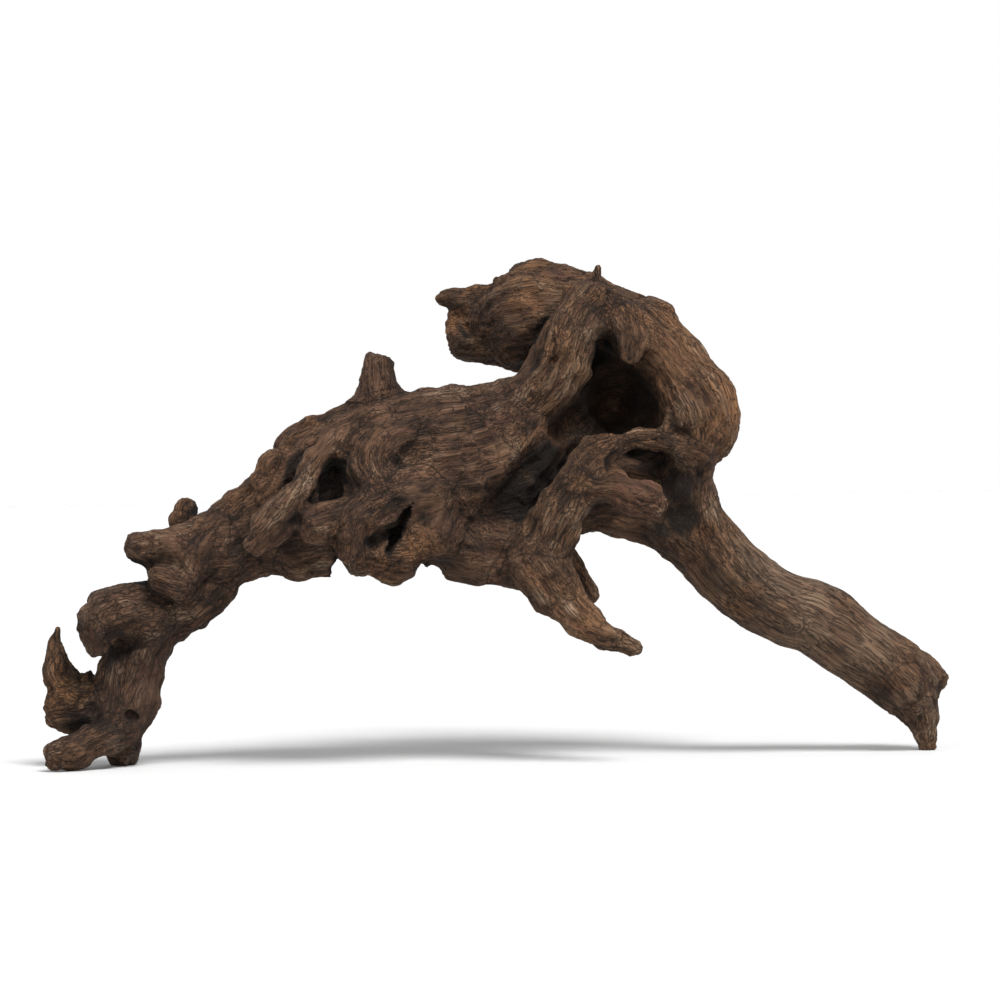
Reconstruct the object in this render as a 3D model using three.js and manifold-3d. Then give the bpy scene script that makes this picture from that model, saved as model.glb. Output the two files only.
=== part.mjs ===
// A piece of aquarium driftwood: an old root that stands like a bridge on two legs, with a hollow
// shoulder, a broken limb behind it, a hooked root in front and a knobbly burl on the trunk.
// Millimetres, +Z up, the front of the piece faces -Y. The origin is on the floor under the middle.
import * as THREE from 'three';
import { mergeVertices } from 'three/addons/utils/BufferGeometryUtils.js';
import Module from 'manifold-3d';

// Driving dimensions.
const LEAN = 0.95; // degrees that the drawn piece is turned about Y to stand level on its feet
const NOD = 2.0; // degrees that it is tipped back about X
const FORK_GAP = 0.3; // clearance between two pieces where a fork is parted
const STEPS_PER_SPAN = 5; // round segments between two points of a limb
const SETTLE_ROUNDS = 2; // times that the facets' points are evened out over the skin
const FACETS_KEPT = 0.46; // share of the facets that is left once the flattest are merged
const LENGTH_COST = 0.002; // what merging along an edge costs for its length, beside how it bends the skin

// Where the middle of the floor lies in the drawing, and the box that the drawing fills.
const CENTRE = { x: 1.07, y: 4.59, floor: 5 };
const EXTENT = { low: [-190, -60, -6], high: [190, 70, 216] };

// The main forks. A round block starts at each fork and reaches along its branch, turned in the plane of
// the drawing and swung toward the back. Smaller cells give finer facets.
const BRANCHES = [
  { name: 'heel_twig', cell: 2.8, color: 0x493729, roughness: 0.9,
    fork: { at: [-164, 7, 27], turn: 147, reach: 60, radius: 24 } },
  { name: 'left_leg', cell: 3.8, color: 0x423329, roughness: 0.88,
    fork: { at: [-128.6, 0, 65.2], turn: 229, reach: 110, radius: 60 } },
  { name: 'upright_peg', cell: 3.4, color: 0x46352b, roughness: 0.85,
    fork: { at: [-47.2, 7, 152.2], turn: 106, reach: 40, radius: 13.5 } },
  { name: 'broken_limb', cell: 3.8, color: 0x48362a, roughness: 0.9,
    fork: { at: [24, 20, 185], turn: 183, swing: 22, reach: 80, radius: 25 } },
  { name: 'right_leg', cell: 5, color: 0x625142, roughness: 0.8,
    fork: { at: [90, 8, 84], turn: -45, reach: 160, radius: 45 } },
  { name: 'spur_root', cell: 3.2, color: 0x5c493a, roughness: 0.86,
    fork: { at: [24, -20, 76], turn: -60, reach: 70, radius: 30 } },
  { name: 'thumb_root', cell: 3.2, color: 0x554032, roughness: 0.86,
    fork: { at: [47, -34, 112], turn: -12, swing: -10, reach: 40, radius: 15 } },
  { name: 'shoulder', cell: 4.2, color: 0x584537, roughness: 0.87,
    fork: { at: [11, 0, 130], turn: 0, reach: 110, radius: 110 } },
  { name: 'trunk', cell: 4.6, color: 0x4e3b2e, roughness: 0.88 },
];

// Wood is drawn as limbs. A limb is a round bar through points [x, y, z, radius]; depth widens its
// section along Y, and blend is the radius of the fillet where it grows into what is already there.
const LIMBS = [
  { name: 'trunk', blend: 1, depth: 0.95, points: [
    [24, 0, 147, 11], [10, 0, 137, 20.6], [-10, 0, 124, 31], [-30, 0, 120.6, 32], [-52, 1, 117, 28.6],
    [-74, 2, 108.6, 24], [-92, 2, 99, 19.2], [-108, 2, 88.4, 15.6], [-123, 1, 74.6, 13.2]] },
  { name: 'back wall', blend: 6, depth: 0.75, points: [
    [6, 10, 124, 21], [26, 14, 134, 19.6], [46, 18, 146, 22], [62, 18, 144, 22]] },
  { name: 'left shin', blend: 7, depth: 0.95, points: [
    [-118, 0, 72, 13], [-131, 0, 64.6, 12.8], [-140.6, 1, 53, 12], [-145.6, 2, 40, 12.9],
    [-147.8, 2, 27, 12.4], [-150, 1, 17, 9.6]] },
  { name: 'front toe', blend: 5, depth: 1, points: [
    [-149, -3, 18, 8], [-159, -12, 13.8, 7], [-168, -17, 9.4, 7.4], [-172.8, -19, 8.2, 6]] },
  { name: 'rear toe', blend: 5, depth: 1.2, points: [
    [-151, 4, 16, 8.4], [-150, 7, 9.6, 6.8], [-150, 8, 6.4, 6.2]] },
  { name: 'left lobe', blend: 5, depth: 1, points: [
    [-134, -2, 65, 12], [-150, -8, 63, 12.2], [-156.4, -11, 60, 10.2], [-157.4, -12, 52.4, 5.3]] },
  { name: 'heel lump', blend: 4, depth: 1, points: [[-158, 4, 27.8, 9], [-170.2, 6, 26.2, 11]] },
  { name: 'heel twig', blend: 3, depth: 1, points: [
    [-171, 7, 33, 7.6], [-175.6, 7, 40, 6.4], [-176.6, 7, 47.2, 5], [-176.6, 7, 53, 3],
    [-176, 7, 56.8, 1.9]] },
  { name: 'heel nub', blend: 1.5, depth: 1, points: [[-180, 6, 42.6, 1.8]] },
  { name: 'heel bump', blend: 2.5, depth: 1, points: [[-163, 4, 35, 4], [-163.6, 4, 38.4, 2.6]] },
  { name: 'side knob', blend: 5, depth: 1, points: [
    [-112, -6, 90, 14], [-126, -8, 89, 10], [-141.8, -7, 89.8, 7]] },
  { name: 'burl', blend: 2, depth: 1, points: [[-131, -14, 77.5, 7.4], [-125, -15, 75.6, 7]] },
  { name: 'burl bump', blend: 3, depth: 1, points: [[-136, -8, 82, 3.8]] },
  { name: 'side peg', blend: 3, depth: 1, points: [[-125.2, 6, 98, 5.8], [-123.4, 6, 105.2, 4.5]] },
  { name: 'side hump', blend: 4, depth: 1.2, points: [[-114, -2, 99, 4]] },
  { name: 'side fold', blend: 2.5, depth: 1, points: [
    [-109, -10, 100, 4.4], [-114, -15, 93.4, 5.2], [-118, -17, 86, 5], [-119, -16.4, 79, 4]] },
  { name: 'crest', blend: 4, depth: 1.1, points: [
    [-52, 4, 141, 8], [-64, 6, 138, 8], [-80, 6, 130.6, 8.6], [-87, 6, 119, 5.4],
    [-96, 4, 107.6, 3.2]] },
  { name: 'upright peg', blend: 4, depth: 0.95, points: [
    [-46.4, 6, 150, 9.9], [-47.3, 8, 161.2, 7.5]] },
  { name: 'crest lump', blend: 3, depth: 1.2, points: [[-88, -6, 122.6, 5.6], [-92.4, -9, 117, 5.6]] },
  { name: 'long ridge', blend: 2.5, depth: 0.95, points: [
    [-46, -17, 141, 6], [-59, -22, 136.4, 6.6], [-68, -27, 127, 6.6], [-75, -31, 115, 6.8],
    [-82, -34, 105, 8.2], [-89, -32, 97, 7.6], [-93, -30, 92.6, 5.2]] },
  { name: 'burl brow', blend: 3, depth: 1, points: [
    [-34, -18, 134, 10], [-45, -24, 130, 11], [-49.6, -28, 121, 12], [-46, -31, 112, 12]] },
  { name: 'brow edge', blend: 2, depth: 1, points: [[-55, -24, 132, 6], [-59.6, -27, 126, 5.4]] },
  { name: 'under ridge', blend: 4, depth: 1.2, points: [[-66, -6, 88.4, 10.6], [-78, -5, 87, 10.4]] },
  { name: 'knuckle', blend: 2.5, depth: 1, points: [[-55, -34, 104, 9], [-69, -39, 100, 8.8]] },
  { name: 'burl nose', blend: 3, depth: 1, points: [
    [-30, -29, 111, 12], [-44, -35, 107.6, 11], [-53, -40, 102, 8.6], [-56, -40, 96, 7.4],
    [-55.6, -39, 90.4, 6.9]] },
  { name: 'knot', blend: 1.5, depth: 1, points: [[-58, -45, 94.6, 3.4]] },
  { name: 'burl belly', blend: 4, depth: 1, points: [[-51, -33, 86.8, 8], [-40, -28, 87.6, 11.7]] },
  { name: 'burl cheek', blend: 4, depth: 1, points: [
    [-22, -16, 108, 14], [-26, -26, 97.4, 13.2]] },
  { name: 'lower body', blend: 5, depth: 1.1, points: [
    [-14, -6, 94, 18], [-3, -8, 92, 16.4], [10, -12, 90, 13]] },
  { name: 'hooked root', blend: 6, depth: 1, points: [
    [6, -16, 84, 10], [17, -22, 90, 12], [24.6, -26, 104, 11], [33, -27, 118, 9.8],
    [42, -25, 129, 7.4]] },
  { name: 'rim', blend: 4, depth: 1.5, points: [
    [42, -25, 129.8, 5.6], [56, -19, 132.8, 4.4], [70, -12, 132, 5], [79, -6, 129, 7]] },
  { name: 'rim stub', blend: 2, depth: 1, points: [[67.6, -14, 133.6, 3.4], [69.2, -15, 138.8, 2.8]] },
  { name: 'thumb', blend: 3.5, depth: 0.95, points: [
    [32, -28, 115, 8], [44, -32, 114, 7.2], [54, -36, 111.6, 8.8], [61, -38, 109.4, 7.6]] },
  { name: 'web', blend: 6, depth: 0.85, points: [
    [20, -6, 100, 8], [40, 2, 110.6, 14], [58, 6, 109, 16.6], [74, 7, 101.6, 16]] },
  { name: 'spur', blend: 4, depth: 1, points: [
    [17.4, -22, 82.4, 13], [27.2, -24, 69.6, 9.8], [38, -27, 58.8, 6.8], [46.4, -31, 54, 5.8],
    [54, -34, 51, 3.8]] },
  { name: 'rear fin', blend: 3, depth: 1.1, points: [
    [24, -8, 92, 7], [31.6, -8, 79, 5.2], [37, -8, 70, 4.6]] },
  { name: 'front limb', blend: 5, depth: 1, points: [
    [14, -4, 146, 13], [26, -10, 162, 13.2], [31, -11, 176, 11.6], [38.6, -6, 186.6, 10.4]] },
  { name: 'shoulder', blend: 6, depth: 1.45, points: [
    [38, 6, 183, 12.2], [50, 6, 179, 13], [61, 6, 172.4, 15], [72, 6, 158.6, 15.5],
    [81.6, 6, 143.4, 17], [77.8, 6, 126, 11.6], [74, 6, 108, 12]] },
  { name: 'shoulder corner', blend: 4, depth: 1.6, points: [
    [62, 6, 184.4, 6.6], [66.6, 6, 183.6, 5.2]] },
  { name: 'right leg', blend: 6, depth: 0.95, points: [
    [75, 5, 101, 14.8], [84, 6, 91.8, 14.4], [92, 7, 81.8, 15.2], [99, 7.5, 76, 15.2],
    [108, 8, 69.6, 14.5], [118, 9, 65, 14.4], [127, 10, 62.4, 15.1], [133.6, 11, 58.8, 15.3],
    [141, 12, 52.8, 14.4], [149.4, 13, 47, 14], [158.8, 15, 41.2, 14.7], [165, 15.5, 35.6, 13.6],
    [169.8, 16, 26.6, 9.6], [172.8, 16.6, 18.6, 6], [174.4, 17, 10.6, 3.6]] },
  { name: 'right heel', blend: 4, depth: 1.2, points: [[163, 15, 37, 12.6], [168, 16, 32, 9.8]] },
  { name: 'leg ridge', blend: 5, depth: 1, points: [
    [82.4, -4, 115, 3.8], [84, -5, 104, 4.8], [90, -5, 88, 5.4], [104, -3.4, 71.6, 5.6],
    [119, -2, 61, 4.6]] },
  { name: 'right knob', blend: 2.5, depth: 1.2, points: [[171, 16, 41, 7], [177, 16, 37, 6.2]] },
  { name: 'broken limb', blend: 4, depth: 1, points: [
    [48, 12, 182, 13], [32, 18, 184, 17.6], [17, 25, 183.6, 21.8], [4, 31, 179, 16.4],
    [-8, 34, 178, 12.8]] },
  { name: 'broken ledge', blend: 3, depth: 1, points: [
    [10, 27, 199.8, 5.4], [15, 26, 198, 8], [26, 22, 196.6, 8.6]] },
  { name: 'broken tip', blend: 2.5, depth: 1, points: [
    [4, 30, 189.4, 7], [-8, 33, 190.6, 6.4], [-15, 34, 190.6, 5.2], [-20.8, 35, 191, 2.8]] },
  { name: 'top peg', blend: 1.5, depth: 1, points: [[40.2, -4, 197.4, 3], [40.6, -4, 201.4, 2.2]] },
  { name: 'cave rib', blend: 3, depth: 1, points: [
    [51, -9, 182, 7], [54, -15, 173, 6.8], [54.4, -17, 167, 5.2]] },
];

// Hollows are cut out of the wood in the same way.
const HOLLOWS = [
  { name: 'cave', blend: 1.4, depth: 2.1, points: [[48.6, -8, 147.6, 13.8], [49.4, -8, 152, 13.2]] },
  { name: 'cave corner', blend: 1.2, depth: 2.4, points: [
    [57.6, -11, 157.6, 5.6], [58.6, -11, 142.4, 6]] },
  { name: 'cave foot', blend: 2, depth: 2.4, points: [
    [26, -14, 136.4, 5], [36, -12, 141, 7.6], [57.6, -7, 143.4, 8]] },
  { name: 'cave slot', blend: 2, depth: 3.4, points: [[44, -10, 162, 5.6], [43.6, -10, 171, 3.2]] },
  { name: 'lower bowl', blend: 4, depth: 1.1, points: [
    [57, -26, 118, 11.6], [65, -24, 114, 14.6], [70, -20, 102, 13.4]] },
  { name: 'thumb notch', blend: 2, depth: 1.8, points: [[42.8, -36, 105, 5]] },
  { name: 'valley', blend: 5, depth: 1.2, points: [
    [28, -22, 134, 5], [16, -25, 121, 7.4], [6, -26, 107, 8], [-2, -27, 98, 6]] },
  { name: 'ridge hollow', blend: 3, depth: 1.4, points: [[-74, -22, 129, 5.6], [-80, -22, 115, 6.4]] },
  { name: 'burl hollow', blend: 2, depth: 1.8, points: [
    [-61.6, -34, 118.4, 2.8], [-66, -34, 114.6, 3.4], [-73, -34, 110.4, 2]] },
  { name: 'nose underside', blend: 2, depth: 2, points: [[-50, -50, 97, 2.2], [-43, -48, 95.4, 3.6]] },
  { name: 'burl crack', blend: 1.5, depth: 5, points: [
    [-31.6, -38, 109.4, 1.5], [-36, -40, 102, 1.8], [-39.4, -42, 94.4, 2.4], [-41.6, -42, 89.8, 2]] },
  { name: 'under notch', blend: 2, depth: 9, points: [[-61.6, -14, 80, 3.6], [-61.8, -14, 86, 1.4]] },
  { name: 'body notch', blend: 1.5, depth: 9, points: [[-24.2, -14, 78, 4.6], [-25.4, -14, 83, 1.6]] },
  { name: 'eye', blend: 1, depth: 2.4, points: [[-145, -12, 23.4, 2.5], [-142.8, -12, 22.4, 2.1]] },
  { name: 'front pit', blend: 1, depth: 2.4, points: [
    [22.2, -23, 163.4, 0.9], [24.6, -22, 165.6, 0.8]] },
  { name: 'broken hollow', blend: 3, depth: 1.4, points: [[-15, 24, 184, 3.8], [-11, 21, 177, 3.6]] },
  { name: 'lobe undercut', blend: 2, depth: 1.4, points: [
    [-148, -12, 51, 2.2], [-135, -14, 52.4, 2], [-122, -13, 56, 1.4]] },
];

// A limb's points become short straight segments along a smooth curve.
function segmentsOf({ depth, points }) {
  const path = new THREE.CatmullRomCurve3(points.map(([x, y, z]) => new THREE.Vector3(x, y, z)));
  const widths = new THREE.SplineCurve(points.map(([, , , r], i) => new THREE.Vector2(i, r)));
  const count = Math.max(1, (points.length - 1) * STEPS_PER_SPAN);
  const stations = [];
  for (let i = 0; i <= count; i++) {
    const t = i / count;
    const p = points.length > 1 ? path.getPoint(t) : new THREE.Vector3(...points[0]);
    const r = points.length > 1 ? widths.getPoint(t).y : points[0][3];
    stations.push({ x: p.x, y: p.y, z: p.z, r });
  }
  return stations.slice(0, -1).map((a, i) => {
    const b = stations[i + 1];
    const dx = b.x - a.x, dy = b.y - a.y, dz = b.z - a.z;
    return { ...a, dx, dy, dz, dr: b.r - a.r, length2: dx * dx + dy * dy + dz * dz || 1, depth };
  });
}

// A box round the limb lets far points be skipped.
function withBox(limb) {
  const segments = segmentsOf(limb);
  const box = new THREE.Box3();
  for (const s of segments) {
    const reach = Math.max(s.r, s.r + s.dr) * Math.max(1, limb.depth);
    box.expandByPoint(new THREE.Vector3(s.x - reach, s.y - reach, s.z - reach));
    box.expandByPoint(new THREE.Vector3(s.x + reach, s.y + reach, s.z + reach));
    box.expandByPoint(new THREE.Vector3(s.x + s.dx - reach, s.y + s.dy - reach, s.z + s.dz - reach));
    box.expandByPoint(new THREE.Vector3(s.x + s.dx + reach, s.y + s.dy + reach, s.z + s.dz + reach));
  }
  return { ...limb, segments, low: box.min, high: box.max };
}

const wood = LIMBS.map(withBox);
const hollows = HOLLOWS.map(withBox);

function boxDistance({ low, high }, x, y, z) {
  const dx = Math.max(low.x - x, 0, x - high.x);
  const dy = Math.max(low.y - y, 0, y - high.y);
  const dz = Math.max(low.z - z, 0, z - high.z);
  return Math.sqrt(dx * dx + dy * dy + dz * dz);
}

// Distance from a point to a limb's skin, negative inside.
function limbDistance(limb, x, y, z) {
  let nearest = Infinity;
  for (const s of limb.segments) {
    let px = x - s.x, py = y - s.y, pz = z - s.z;
    const t = Math.min(1, Math.max(0, (px * s.dx + py * s.dy + pz * s.dz) / s.length2));
    const r = s.r + t * s.dr, ry = r * s.depth;
    px -= t * s.dx;
    py -= t * s.dy;
    pz -= t * s.dz;
    const round = Math.sqrt((px * px + pz * pz) / (r * r) + (py * py) / (ry * ry));
    const slope = Math.sqrt((px * px + pz * pz) / (r ** 4) + (py * py) / (ry ** 4));
    const d = slope > 1e-9 ? (round * (round - 1)) / slope : -Math.min(r, ry);
    if (d < nearest) nearest = d;
  }
  return nearest;
}

function smoothMin(a, b, k) {
  const h = Math.max(k - Math.abs(a - b), 0) / k;
  return Math.min(a, b) - h * h * k * 0.25;
}

// Slow swells in the wood that no limb draws. They fade out along the smooth right leg.
function swell(x, y, z) {
  const slow = Math.sin(0.21 * x + 1.7 * Math.sin(0.09 * z + 0.05 * y)) *
    Math.sin(0.23 * z + 0.17 * y + 1.3 * Math.sin(0.08 * x));
  const quick = Math.sin(0.43 * x + 0.31 * y) * Math.sin(0.47 * z - 0.29 * y + 0.13 * x);
  return (0.9 * slow + 0.5 * quick) * (1 - 0.8 * THREE.MathUtils.smoothstep(x, 86, 112));
}

function field(x, y, z) {
  let d = 1e3;
  for (const limb of wood) {
    if (boxDistance(limb, x, y, z) < d + limb.blend) {
      d = smoothMin(d, limbDistance(limb, x, y, z), limb.blend);
    }
  }
  for (const limb of hollows) {
    if (boxDistance(limb, x, y, z) < limb.blend - d) {
      d = -smoothMin(-d, limbDistance(limb, x, y, z), limb.blend);
    }
  }
  return d + swell(x, y, z);
}

// The standing pose: the drawing is turned level, set on its feet and centred over the floor.
const standing = new THREE.Matrix4()
  .makeTranslation(-CENTRE.x, -CENTRE.y, -CENTRE.floor)
  .multiply(new THREE.Matrix4().makeRotationX(THREE.MathUtils.degToRad(-NOD)))
  .multiply(new THREE.Matrix4().makeRotationY(THREE.MathUtils.degToRad(LEAN)));

// A grid cell: eight corners, twelve edges and six faces, a corner's bits being its x, y and z.
const AXES = [0, 1, 2];
const CORNERS = [...Array(8).keys()];
const EDGES = AXES.flatMap((axis) =>
  CORNERS.filter((corner) => !((corner >> axis) & 1)).map((corner) => [corner, corner | (1 << axis)]));
const FACES = AXES.flatMap((axis) => [0, 1].map((side) => {
  const corners = CORNERS.filter((corner) => ((corner >> axis) & 1) === side);
  const edges = EDGES.flatMap(([a, b], e) => (corners.includes(a) && corners.includes(b) ? [e] : []));
  return { corners, edges };
}));

// Which of a cell's crossed edges belong to one sheet of skin, for each pattern of wooden corners.
const SHEETS = Array.from({ length: 256 }, (_, pattern) => {
  const isWood = (corner) => (pattern >> corner) & 1;
  const sheet = EDGES.map(([a, b], e) => (isWood(a) !== isWood(b) ? e : -1));
  const join = (e, f) => {
    const from = sheet[e], to = sheet[f];
    sheet.forEach((label, i) => { if (label === from) sheet[i] = to; });
  };
  for (const { corners, edges } of FACES) {
    const crossed = edges.filter((e) => sheet[e] >= 0);
    if (crossed.length === 2) join(crossed[0], crossed[1]);
    if (crossed.length === 4) {
      for (const corner of corners.filter(isWood)) {
        const touching = crossed.filter((e) => EDGES[e].includes(corner));
        join(touching[0], touching[1]);
      }
    }
  }
  return sheet;
});

function gradient(x, y, z) {
  const e = 0.3;
  return [
    field(x + e, y, z) - field(x - e, y, z),
    field(x, y + e, z) - field(x, y - e, z),
    field(x, y, z + e) - field(x, y, z - e),
  ].map((difference) => difference / (2 * e));
}

// Wraps the wood inside a box in facets: each sheet of skin that passes through a grid cell gets one
// point, and each grid edge that leaves the wood gets a four-sided face between its four cells.
function skinOf(low, high, cell) {
  const size = AXES.map((axis) => Math.ceil((high[axis] - low[axis]) / cell) + 1);
  const strides = [1, size[0], size[0] * size[1]];
  const value = new Float64Array(size[0] * size[1] * size[2]);
  const place = (i, j, k) => [low[0] + i * cell, low[1] + j * cell, low[2] + k * cell];
  for (let k = 0, n = 0; k < size[2]; k++) {
    for (let j = 0; j < size[1]; j++) {
      for (let i = 0; i < size[0]; i++, n++) {
        const rim = i === 0 || j === 0 || k === 0 ||
          i === size[0] - 1 || j === size[1] - 1 || k === size[2] - 1;
        value[n] = rim ? cell : field(...place(i, j, k));
      }
    }
  }

  const points = [], pointOf = new Map();
  for (let k = 0; k < size[2] - 1; k++) {
    for (let j = 0; j < size[1] - 1; j++) {
      for (let i = 0; i < size[0] - 1; i++) {
        const start = i + j * strides[1] + k * strides[2];
        const at = CORNERS.map((corner) => start + (corner & 1) +
          ((corner >> 1) & 1) * strides[1] + (corner >> 2) * strides[2]);
        const pattern = at.reduce((bits, n, corner) => bits | (value[n] < 0 ? 1 << corner : 0), 0);
        if (pattern === 0 || pattern === 255) continue;
        const sheets = new Map();
        SHEETS[pattern].forEach((label, e) => {
          if (label >= 0) sheets.set(label, [...(sheets.get(label) ?? []), e]);
        });
        for (const edges of sheets.values()) {
          const mean = [0, 0, 0];
          for (const e of edges) {
            const [a, b] = EDGES[e];
            const t = value[at[a]] / (value[at[a]] - value[at[b]]);
            AXES.forEach((axis) => {
              const from = (a >> axis) & 1, to = (b >> axis) & 1;
              mean[axis] += (from + t * (to - from)) / edges.length;
            });
          }
          edges.forEach((e) => pointOf.set(start * 12 + e, points.length));
          points.push(place(i + mean[0], j + mean[1], k + mean[2]));
        }
      }
    }
  }

  const quads = [];
  AXES.forEach((axis) => {
    const side = (axis + 1) % 3, other = (axis + 2) % 3;
    for (let n = 0; n < value.length - strides[axis]; n++) {
      if ((value[n] < 0) === (value[n + strides[axis]] < 0)) continue;
      const ring = [[0, 0], [1, 0], [1, 1], [0, 1]].map(([u, v]) => {
        const cellStart = n - u * strides[side] - v * strides[other];
        const corner = (u << side) | (v << other);
        const edge = EDGES.findIndex(([a, b]) => a === corner && b === (corner | (1 << axis)));
        return pointOf.get(cellStart * 12 + edge);
      });
      quads.push(value[n] < 0 ? ring : ring.reverse());
    }
  });
  return { points, quads };
}

// Evens the points out over the wood and pulls them onto its skin.
function settle({ points, quads }, cell) {
  for (let round = 0; round < SETTLE_ROUNDS; round++) {
    const sums = points.map(() => [0, 0, 0, 0]);
    for (const quad of quads) {
      quad.forEach((p, i) => {
        const q = quad[(i + 1) % 4];
        for (const [to, from] of [[p, q], [q, p]]) {
          AXES.forEach((axis) => { sums[to][axis] += points[from][axis]; });
          sums[to][3] += 1;
        }
      });
    }
    points.forEach((point, i) => {
      const target = AXES.map((axis) => 0.5 * point[axis] + 0.5 * sums[i][axis] / sums[i][3]);
      for (let step = 0; step < 3; step++) {
        const slope = gradient(...target);
        const steep = Math.max(0.25, slope[0] ** 2 + slope[1] ** 2 + slope[2] ** 2);
        const pull = THREE.MathUtils.clamp(field(...target) / steep, -0.4 * cell, 0.4 * cell);
        AXES.forEach((axis) => { target[axis] -= pull * slope[axis]; });
      }
      AXES.forEach((axis) => { point[axis] = target[axis]; });
    });
  }
}

const minus = (a, b) => [a[0] - b[0], a[1] - b[1], a[2] - b[2]];
const dot = (a, b) => a[0] * b[0] + a[1] * b[1] + a[2] * b[2];
const crossOf = (a, b) => [a[1] * b[2] - a[2] * b[1], a[2] * b[0] - a[0] * b[2], a[0] * b[1] - a[1] * b[0]];
const normalOf = (a, b, c) => crossOf(minus(b, a), minus(c, a));

// How far a point is from the planes of the facets round both ends of an edge.
function mergeCost(point, facets, points) {
  return facets.reduce((sum, facet) => {
    const corner = points[facet[0]];
    const normal = normalOf(corner, points[facet[1]], points[facet[2]]);
    return sum + dot(normal, minus(point, corner)) ** 2 / (Math.hypot(...normal) + 1e-9);
  }, 0);
}

// Merges the ends of the edges that bend the skin least, a few at a time, until enough is gone.
function thin(points, triangles, share) {
  const goal = triangles.length * share;
  let facets = triangles;
  while (facets.length > goal) {
    const around = points.map(() => []);
    const near = points.map(() => new Set());
    for (const facet of facets) {
      facet.forEach((p, i) => {
        around[p].push(facet);
        near[p].add(facet[(i + 1) % 3]).add(facet[(i + 2) % 3]);
      });
    }
    const edges = [];
    near.forEach((others, a) => others.forEach((b) => {
      if (a > b) return;
      const middle = AXES.map((axis) => (points[a][axis] + points[b][axis]) / 2);
      const cost = mergeCost(middle, [...around[a], ...around[b]], points);
      const half = minus(middle, points[a]);
      edges.push({ a, b, middle, cost: cost + LENGTH_COST * dot(half, half) });
    }));
    edges.sort((e, f) => e.cost - f.cost);

    const busy = new Set(), merged = new Map();
    const most = Math.min((facets.length - goal) / 2 + 1, facets.length / 30);
    for (const { a, b, middle } of edges) {
      if (merged.size >= most) break;
      if (busy.has(a) || busy.has(b)) continue;
      const shared = [...near[a]].filter((p) => near[b].has(p));
      if (shared.length !== 2) continue;
      const flips = [...around[a], ...around[b]].some((facet) => {
        if (facet.includes(a) && facet.includes(b)) return false;
        const before = normalOf(...facet.map((p) => points[p]));
        const after = normalOf(...facet.map((p) => (p === a || p === b ? middle : points[p])));
        return dot(before, after) < 0.4 * Math.hypot(...before) * Math.hypot(...after);
      });
      if (flips) continue;
      merged.set(b, a);
      points[a] = middle;
      [...near[a], ...near[b]].forEach((p) => busy.add(p));
    }
    facets = facets.map((facet) => facet.map((p) => merged.get(p) ?? p))
      .filter(([a, b, c]) => a !== b && b !== c && c !== a);
    if (merged.size === 0) break;
  }
  const used = [...new Set(facets.flat())];
  const place = new Map(used.map((p, i) => [p, i]));
  facets = facets.map((facet) => facet.map((p) => place.get(p)));
  return { points: used.map((p) => points[p]), facets };
}

const wasm = await Module();
wasm.setup();

function solidFrom(positions, indices) {
  const stood = new THREE.Vector3();
  const vertProperties = new Float32Array(positions.length * 3);
  positions.forEach((point, i) => {
    stood.fromArray(point).applyMatrix4(standing).toArray(vertProperties, i * 3);
  });
  return new wasm.Manifold(new wasm.Mesh({
    numProp: 3, vertProperties, triVerts: Uint32Array.from(indices),
  }));
}

function woodSolid(low, high, cell) {
  const net = skinOf(low, high, cell);
  settle(net, cell);
  const apart = (a, b) => Math.hypot(...AXES.map((axis) => net.points[a][axis] - net.points[b][axis]));
  const triangles = net.quads.flatMap(([a, b, c, d]) => (
    apart(a, c) < apart(b, d) ? [[a, b, c], [a, c, d]] : [[a, b, d], [b, c, d]]));
  const { points, facets } = thin(net.points, triangles, FACETS_KEPT);
  return solidFrom(points, facets.flat());
}

// A round block that starts at a fork and reaches along the branch, grown by a margin all over.
function forkBlock({ at, turn, swing = 0, reach, radius }, margin = 0) {
  const block = new THREE.CylinderGeometry(radius + margin, radius + margin, reach + 2 * margin, 16);
  block.rotateZ(-Math.PI / 2);
  block.translate(reach / 2, 0, 0);
  block.rotateZ(THREE.MathUtils.degToRad(swing));
  block.rotateY(THREE.MathUtils.degToRad(-turn));
  block.translate(...at);
  block.deleteAttribute('normal');
  block.deleteAttribute('uv');
  return mergeVertices(block, 1e-4);
}

const positionsOf = (geometry) => {
  const flat = geometry.attributes.position.array;
  return Array.from({ length: flat.length / 3 }, (_, i) => Array.from(flat.slice(3 * i, 3 * i + 3)));
};
const blockSolid = (fork, margin) => {
  const block = forkBlock(fork, margin);
  return solidFrom(positionsOf(block), block.index.array);
};

const floorBlock = (() => {
  const block = new THREE.BoxGeometry(600, 400, 100);
  block.translate(0, 0, -50);
  block.applyMatrix4(standing.clone().invert());
  block.deleteAttribute('normal');
  block.deleteAttribute('uv');
  const merged = mergeVertices(block, 1e-4);
  return solidFrom(positionsOf(merged), merged.index.array);
})();

function meshOf(name, solid, { color, roughness }) {
  const { vertProperties, triVerts } = solid.getMesh();
  const geometry = new THREE.BufferGeometry();
  geometry.setAttribute('position', new THREE.BufferAttribute(vertProperties, 3));
  geometry.setIndex(new THREE.BufferAttribute(triVerts, 1));
  geometry.computeVertexNormals();
  const mesh = new THREE.Mesh(geometry, new THREE.MeshStandardMaterial({ color, roughness, metalness: 0 }));
  mesh.name = name;
  return mesh;
}

const driftwood = new THREE.Group();
driftwood.name = 'aquarium_driftwood';

// The box of the drawing that a fork's block covers, with a margin of a few cells.
function coverOf(fork, margin) {
  const corners = positionsOf(forkBlock(fork));
  const low = AXES.map((axis) => Math.min(...corners.map((corner) => corner[axis])) - margin);
  const high = AXES.map((axis) => Math.max(...corners.map((corner) => corner[axis])) + margin);
  return {
    low: AXES.map((axis) => Math.max(low[axis], EXTENT.low[axis])),
    high: AXES.map((axis) => Math.min(high[axis], EXTENT.high[axis])),
  };
}

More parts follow.
